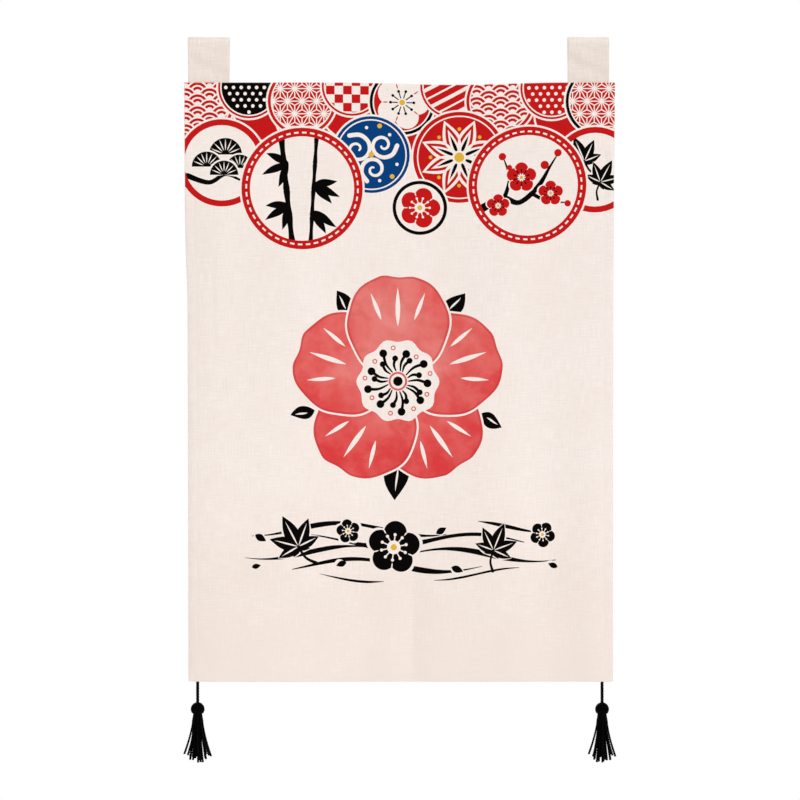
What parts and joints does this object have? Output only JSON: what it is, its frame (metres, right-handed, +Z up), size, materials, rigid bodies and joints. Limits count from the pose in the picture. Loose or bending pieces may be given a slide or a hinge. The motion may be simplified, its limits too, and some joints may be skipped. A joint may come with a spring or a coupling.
{
  "type": "noren curtain",
  "caption": "Short one-panel linen door curtain with loop tabs for a slim rod, a printed front, and black corner tassels on short twisted cords.",
  "frame": {"origin": "on the rod line: midway between the two tabs, at the inner top of their loops, where a rod bears", "axes": "+Z up, -Y out of the printed front, +X to the right of a viewer who faces the front"},
  "size_m": [0.5055, 0.0339, 0.8468],
  "materials": {
    "printed_linen": "matt slubbed linen blend, printed on the front",
    "plain_linen": "matt slubbed linen blend, unprinted",
    "black_cord": "twisted rayon cord, slight sheen",
    "black_yarn": "wound and hanging rayon yarn, slight sheen"
  },
  "bodies": {
    "root": {"panel": "printed_linen", "tab_left": "plain_linen", "tab_right": "plain_linen", "tassel_cord_left": "black_cord", "tassel_cord_right": "black_cord", "tassel_left": "black_yarn", "tassel_right": "black_yarn"}
  },
  "joints": []
}
